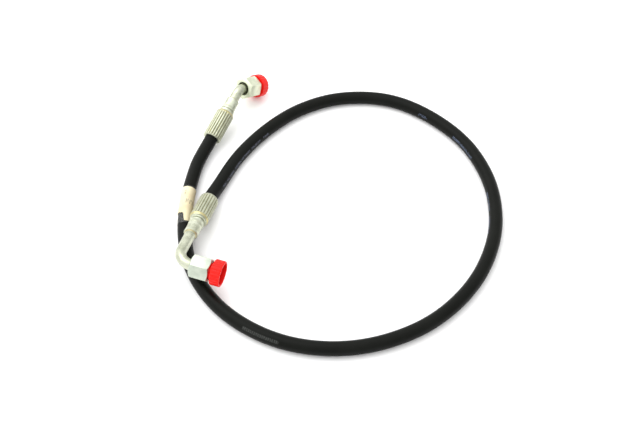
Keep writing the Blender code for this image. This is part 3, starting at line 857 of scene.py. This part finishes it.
def stem_piece(end, finish, braze):
    """Insert nipple with barbed tail, collar and stepped body, and its brazed fillet."""
    length = end.ferrule_length
    top = end.stem_top
    tail = HOSE_ENTRY + 2.0
    collar = length + 0.1
    body = collar + COLLAR_LENGTH
    step = body + BODY_LENGTH[end.tag]
    neck_r = FERRULE_NECK_R - 0.1
    floor = top - SOCKET_DEPTH
    outline = [(STEM_BORE_R, tail), (STEM_BORE_R + 0.1, tail)]
    for barb in range(BARB_COUNT):
        outline += [(BARB_ROOT_R, tail + 0.8 + barb * BARB_PITCH),
                    (BARB_TIP_R, tail + 4.85 + barb * BARB_PITCH)]
    outline += rounded([
        (BARB_ROOT_R, length - 3.8), (neck_r, length - FERRULE_NECK), (neck_r, collar),
        (COLLAR_R - 0.2, collar, 0.3), (COLLAR_R, collar + 0.5, 0.3), (COLLAR_R, collar + 2.6, 0.5),
        (7.2, collar + 2.9, 0.15), (7.2, body - 0.1, 0.15), (BODY_R, body + 0.3, 0.4),
        (BODY_R, body + 1.4, 0.3), (8.2, body + 1.8, 0.2), (8.35, step - 0.9, 0.4),
        (7.5, step - 0.1, 0.2), (7.5, step + 0.2, 0.2), (7.9, step + 0.6, 0.3),
        (7.8, (step + top) / 2.0), (7.95, top - 0.5, 0.4), (7.3, top, 0.3), (SOCKET_R, top),
        (SOCKET_R, floor), (TUBE_BORE_R, floor), (STEM_BORE_R, floor - 2.0),
    ])
    piece = turned("stem_body_" + end.tag, outline, end.stem_frame, 96)
    put(piece, BODY, "stem_plating", finish, "stem_" + end.tag)
    fillet = rounded([
        (TUBE_R - 0.05, top - 0.1), (7.1, top - 0.1, 0.1), (6.6, top + 0.3, 0.3),
        (6.15, top + 0.7, 0.4), (TUBE_R - 0.05, top + 1.3),
    ])
    ring = turned("stem_braze_fillet_" + end.tag, fillet, end.stem_frame, 72)
    put(ring, BODY, "braze", braze, "stem_braze_" + end.tag)


def elbow_piece(end, finish):
    """Bent tube: straight, arc, straight, slightly oval in the bend and open right through."""
    radius = BEND_RADIUS[end.tag]
    reach = radius * math.tan(end.bend / 2.0)
    path = [Vector((0.0, 0.0, end.stem_top - SOCKET_DEPTH + 0.3))]
    straight = end.corner - reach
    path += [Vector((0.0, 0.0, path[0].z + (straight - path[0].z) * k / 6.0)) for k in range(1, 6)]
    steps = round(math.degrees(end.bend) / BEND_STEP_DEG)
    for k in range(steps + 1):
        turn = end.bend * k / steps
        path.append(Vector((
            radius * (1.0 - math.cos(turn)), 0.0, straight + radius * math.sin(turn))))
    onward = Vector((math.sin(end.bend), 0.0, math.cos(end.bend)))
    corner = Vector((0.0, 0.0, end.corner))
    for k in range(1, 5):
        path.append(corner + onward * (reach + (end.tube_end - reach) * k / 4.0))
    sides = TUBE_SIDES
    verts, faces = [], []
    for index, point in enumerate(path):
        along = (path[min(index + 1, len(path) - 1)] - path[max(index - 1, 0)]).normalized()
        out = Vector((0.0, 1.0, 0.0)).cross(along)
        share = index / len(path)
        bent = smoothstep(0.0, 0.2, share) * smoothstep(0.0, 0.2, 1.0 - share)
        flat = 1.0 - TUBE_OVAL * bent
        for wall in (TUBE_R, TUBE_BORE_R):
            for side in range(sides):
                turn = math.tau * side / sides
                way = out * math.cos(turn) * flat + Vector((0.0, math.sin(turn) / flat, 0.0))
                verts.append((point + way * wall) * MM)
    ring = sides * 2
    for index in range(len(path) - 1):
        for wall in (0, sides):
            for side in range(sides):
                after = (side + 1) % sides
                low, high = index * ring + wall, (index + 1) * ring + wall
                faces.append((low + side, low + after, high + after, high + side))
    for low in (0, (len(path) - 1) * ring):
        for side in range(sides):
            after = (side + 1) % sides
            faces.append((low + side, low + after, low + sides + after, low + sides + side))
    piece = finish_mesh("elbow_" + end.tag, verts, faces, end.stem_frame)
    put(piece, BODY, "tube_plating", finish, "elbow_tube_" + end.tag)


def nose_pieces(end, finish, braze, rubber):
    """Sealing cone with its shoulder, O-ring groove, O-ring and brazed fillet, inside the nut."""
    back, tip = end.nose_back, end.nose_tip
    start = back + NOSE_SHOULDER
    groove = start + GROOVE_AT
    middle = groove + GROOVE_WIDTH / 2.0

    def cone(height):
        return CONE_R - (height - start) * CONE_SLOPE

    groove_r = cone(groove) - GROOVE_DEPTH
    outline = rounded([
        (SOCKET_R, back), (7.0, back, 0.2), (NOSE_SHOULDER_R, back + 1.6, 0.3),
        (NOSE_SHOULDER_R, start - 0.2, 0.2), (cone(start), start), (cone(groove), groove, 0.1),
        (groove_r, groove, 0.1), (groove_r, groove + GROOVE_WIDTH, 0.1),
        (cone(groove + GROOVE_WIDTH), groove + GROOVE_WIDTH, 0.1),
        (cone(tip), tip, 0.3), (TUBE_BORE_R, tip, 0.3), (TUBE_BORE_R, end.tube_end + 0.3),
        (SOCKET_R, end.tube_end + 0.3),
    ])
    piece = turned("sealing_cone_" + end.tag, outline, end.nut_frame, 96)
    put(piece, BODY, "nose_plating", finish, "cone_nose_" + end.tag)
    centre_r = cone(middle) - GROOVE_DEPTH + SEAL_R
    section = [
        (centre_r + SEAL_R * math.cos(math.tau * k / 16),
         middle + SEAL_R * math.sin(math.tau * k / 16)) for k in range(16)
    ]
    ring = turned("seal_ring_" + end.tag, section, end.nut_frame, 72)
    put(ring, BODY, "seal_rubber", rubber, "o_ring_" + end.tag)
    fillet = rounded([(TUBE_R - 0.05, back + 0.1), (TUBE_R - 0.05, back - 1.2),
                      (6.3, back - 0.6, 0.3), (6.8, back + 0.1)])
    joint = turned("nose_braze_fillet_" + end.tag, fillet, end.nut_frame, 72)
    put(joint, BODY, "braze", braze, "nose_braze_" + end.tag)


def hexagon_radius(angle, flat):
    """Radius of a hexagon with rounded corners, its first corner at angle 0."""
    half_side = math.pi / 6.0
    off_corner = (angle + half_side) % (math.pi / 3.0) - half_side
    inner = flat - NUT_CORNER_ROUND
    centre = inner / math.cos(half_side)
    touch = half_side - math.atan2(inner * math.tan(half_side), flat)
    if abs(off_corner) < touch:
        inside = NUT_CORNER_ROUND ** 2 - (centre * math.sin(off_corner)) ** 2
        return centre * math.cos(off_corner) + math.sqrt(inside)
    return flat / math.cos(half_side - abs(off_corner))


def nut_piece(end, finish):
    """Swivel nut: six flats under turned chamfers, an open back and a helical thread."""
    back, front, flat = end.nut_back, end.nut_front, end.nut_flat
    back_r, front_r = flat - NUT_BACK_CHAMFER, flat - NUT_FRONT_CHAMFER
    thread_start, thread_stop = back + THREAD_START, front - 1.0
    rows = round((thread_stop - thread_start) / (THREAD_PITCH / 8.0))
    # The six rows between back_r and front_r only hold how far they lie from the chamfer's edge
    edge_rows = [0.0, NUT_EDGE / 2.0, NUT_EDGE]
    outline = [(NUT_BACK_R + 0.3, back), (back_r, back)] + [(row, 0.0) for row in edge_rows]
    chamfer_rows = len(outline)
    outline += [(row, 1.0) for row in reversed(edge_rows)]
    outline += [(front_r, front), (THREAD_ROOT_R + 0.5, front), (THREAD_ROOT_R + 0.3, front - 0.1)]
    first_thread = len(outline)
    for row in range(rows + 1):
        outline.append((THREAD_CORE_R, thread_stop - (thread_stop - thread_start) * row / rows))
    outline += [(THREAD_CORE_R, back + THREAD_START - 0.2), (NUT_BACK_R, back + NUT_COUNTERBORE),
                (NUT_BACK_R, back + 0.3)]

    def shaped(angle, index, radius, height):
        """Bends the outer rows to the hexagon and the thread's rows to a helix with faded ends."""
        hexagon = hexagon_radius(angle - end.nut_turn, flat)
        if 2 <= index < chamfer_rows:
            edge = back + (hexagon - back_r) * NUT_CHAMFER_SLOPE
            return hexagon - (NUT_EDGE - radius) * EDGE_PULL, edge - EDGE_DROP + radius * EDGE_RISE
        if chamfer_rows <= index < chamfer_rows + len(edge_rows):
            edge = front - (hexagon - front_r) * NUT_CHAMFER_SLOPE
            return hexagon - (NUT_EDGE - radius) * EDGE_PULL, edge + EDGE_DROP - radius * EDGE_RISE
        if first_thread <= index <= first_thread + rows:
            phase = (height / THREAD_PITCH - angle / math.tau) % 1.0
            ridge = abs(phase - 0.5) * 2.0
            fade = smoothstep(thread_stop + 0.1, thread_stop - 1.2, height)
            fade *= smoothstep(thread_start - 0.1, thread_start + 1.2, height)
            cut = smoothstep(0.08, 0.92, ridge) * (THREAD_ROOT_R - THREAD_CORE_R)
            lead = (THREAD_ROOT_R + 0.3 - THREAD_CORE_R) * smoothstep(
                thread_stop - 0.8, thread_stop, height)
            return radius + max(cut * fade, lead), height
        return radius, height

    # Columns lie closer together near the six corners
    angles = []
    for corner in range(6):
        for step in range(-30, 30):
            share = step / 30.0
            degrees = 60.0 * corner + 30.0 * share * abs(share) ** 0.35
            angles.append(end.nut_turn + math.radians(degrees))
    piece = turned("swivel_nut_body_" + end.tag, outline, end.nut_frame, sorted(angles), shaped)
    put(piece, "nut_" + end.tag, "nut_plating", finish, "swivel_nut_" + end.tag)


def plug_piece(end, finish):
    """Screw plug: threaded hollow shank, plain neck, faceted head with a dished end."""
    front, top, head_r = end.nut_front, end.plug_top, end.plug_r
    head = front + PLUG_NECK
    low = front - PLUG_SHANK
    wall = head_r - PLUG_WALL
    outline = [(7.0, low + 0.2), (7.2, low), (PLUG_SHANK_R - 0.5, low)]
    first_thread = len(outline)
    for row in range(PLUG_THREAD_ROWS + 1):
        outline.append((PLUG_SHANK_R, low + 0.4 + (PLUG_SHANK - 0.6) * row / PLUG_THREAD_ROWS))
    outline += rounded([
        (PLUG_SHANK_R, front), (PLUG_SHANK_R, head, 0.3), (head_r - 0.8, head, 0.5),
        (head_r, head + 0.9, 0.6), (head_r, (head + top) / 2.0), (head_r, top - 0.4, 0.4),
        (head_r - 0.5, top, 0.25), (wall + 0.3, top, 0.3), (wall, top - 0.5, 0.3),
        (wall - 0.7, head + 3.4, 0.8), (7.5, head + 3.0), (3.0, head + 3.0), (1.6, head + 2.8, 0.3),
    ])[1:]
    outline += [(0.0, head + 2.7), (0.0, head + 1.0), (6.6, head + 1.0), (7.0, head + 0.6)]

    def shaped(angle, index, radius, height):
        """Cuts the thread into the shank and the facets' dips into the head."""
        if first_thread <= index <= first_thread + PLUG_THREAD_ROWS:
            phase = (height / THREAD_PITCH - angle / math.tau) % 1.0
            return radius - 0.35 + 0.45 * smoothstep(0.2, 0.8, abs(phase - 0.5) * 2.0), height
        if radius > head_r - 0.9 and height > head - 0.1:
            facet = (angle * PLUG_FACETS / math.tau) % 1.0 - 0.5
            return radius - PLUG_FACET_DIP * smoothstep(0.28, 0.5, abs(facet)), height
        return radius, height

    def dish(co):
        """1 inside the head's dish."""
        inside = 1.0 - smoothstep(wall - 0.3, wall + 0.1, math.hypot(co.x, co.y) / MM)
        return inside * (co.z / MM > head + 2.0)

    piece = turned("red_plug_" + end.tag, outline, end.nut_frame, 240, shaped)
    # the dish mask drives the darker red painted as shade on the plug's end face
    store(piece, "dish", dish)
    put(piece, "screw_plug_" + end.tag, "red_plastic", finish, "plug_" + end.tag)


def paint_inner_layers():
    """The hose's clamped ends stay as CAD nodes, hidden in the ferrules, with own finishes."""
    liner = layer(
        "liner_rubber_black", (0.010, 0.010, 0.010), (0.026, 0.026, 0.025), 0.8, 0.02, 0.5, 0.0)
    braid = layer(
        "braid_wire_brassed", (0.30, 0.24, 0.14), (0.62, 0.56, 0.42), 0.4, 0.1, 0.35, 0.9)
    cover = layer(
        "cover_rubber_black", (0.012, 0.013, 0.012), (0.03, 0.03, 0.028), 0.9, 0.03, 0.5, 0.0)
    for tag in ("a", "b"):
        for node, finish in (
            ("hose_liner_end_", liner), ("wire_braid_end_", braid), ("hose_cover_end_", cover),
        ):
            data = frame["nodes"][node + tag].data
            data.materials.clear()
            data.materials.append(finish)


# ---------------------------------------------------------------- stage, light and camera

def add_floor():
    """A wide white floor, for the stage only."""
    bpy.ops.mesh.primitive_plane_add(size=8.0)
    floor = bpy.context.object
    floor.name = "floor"
    surface = bpy.data.materials.new("floor_white")
    surface.use_nodes = True
    shader = surface.node_tree.nodes["Principled BSDF"]
    shader.inputs["Base Color"].default_value = (0.95, 0.95, 0.95, 1.0)
    shader.inputs["Roughness"].default_value = 0.9
    shader.inputs["Specular IOR Level"].default_value = 0.0
    floor.data.materials.append(surface)


def add_softbox(name, place, size, power):
    data = bpy.data.lights.new(name, "AREA")
    data.shape = "SQUARE"
    data.size = size
    data.energy = power
    lamp = bpy.data.objects.new(name, data)
    bpy.context.scene.collection.objects.link(lamp)
    lamp.location = place
    lamp.rotation_euler = (LOOK_AT - Vector(place)).to_track_quat("-Z", "Y").to_euler()


def add_light():
    """A bright studio sky, dimmer towards the right and the horizon, and a large softbox."""
    world = bpy.data.worlds.new("studio")
    bpy.context.scene.world = world
    world.use_nodes = True
    nodes, links = world.node_tree.nodes, world.node_tree.links
    split = nodes.new("ShaderNodeSeparateXYZ")
    links.new(nodes.new("ShaderNodeTexCoord").outputs["Generated"], split.inputs["Vector"])
    total = None
    for axis, weight in zip("XYZ", SKY_SLOPE):
        share = nodes.new("ShaderNodeMath")
        share.operation = "MULTIPLY_ADD"
        links.new(split.outputs[axis], share.inputs[0])
        share.inputs[1].default_value = weight
        share.inputs[2].default_value = SKY_LEVEL
        if total:
            links.new(total, share.inputs[2])
        total = share.outputs["Value"]
    links.new(total, nodes["Background"].inputs["Strength"])
    nodes["Background"].inputs["Color"].default_value = (1.0, 1.0, 1.0, 1.0)
    add_softbox("top_left_softbox", KEY_AT, KEY_SIZE, KEY_POWER)


def add_camera():
    data = bpy.data.cameras.new("camera")
    data.lens = CAMERA_LENS
    data.sensor_width = 36.0
    camera = bpy.data.objects.new("camera", data)
    bpy.context.scene.collection.objects.link(camera)
    camera.location = CAMERA_AT
    camera.rotation_euler = (math.radians(90.0 - CAMERA_DOWN), 0.0, 0.0)
    bpy.context.scene.camera = camera
    bpy.context.scene.view_settings.view_transform = "Standard"


add_camera()
add_floor()
add_light()
both_ends = [End("a"), End("b")]
hose_path = hose_line(both_ends)
hose = hose_piece(hose_path)
label = label_pieces(hose_path)
sampled = [hose_path.at(hose_path.length * k / 300) for k in range(301)]
steel = plating("tube_zinc_nickel", (0.54, 0.56, 0.44), (0.39, 0.41, 0.31),
                (0.48, 0.42, 0.17), 0.30, (1, 1, 8))
crimped = ferrule_plating()
turned_steel = plating("stem_zinc_nickel", (0.64, 0.67, 0.54), (0.42, 0.44, 0.33),
                       (0.56, 0.49, 0.18), 0.32, (1, 1, 0.12))
# painted light: both nuts share one plating, and nut b's copy is lighter and yellower than nut a's,
# standing in for the brighter light on nut b
nut_steel = {
    "a": plating("nut_zinc_nickel_a", (0.55, 0.60, 0.51), (0.45, 0.50, 0.42),
                 (0.56, 0.58, 0.38), 0.42, (1, 1, 5)),
    "b": plating("nut_zinc_nickel_b", (0.73, 0.77, 0.60), (0.60, 0.64, 0.48),
                 (0.70, 0.70, 0.38), 0.38, (1, 1, 5)),
}
brazing = brass_braze()
for each_end in both_ends:
    ferrule_piece(each_end, crimped)
    stem_piece(each_end, turned_steel, brazing)
    elbow_piece(each_end, steel)
    nose_pieces(each_end, turned_steel, brazing, seal())
    nut_piece(each_end, nut_steel[each_end.tag])
    plug_piece(each_end, red_plastic())
paint_inner_layers()
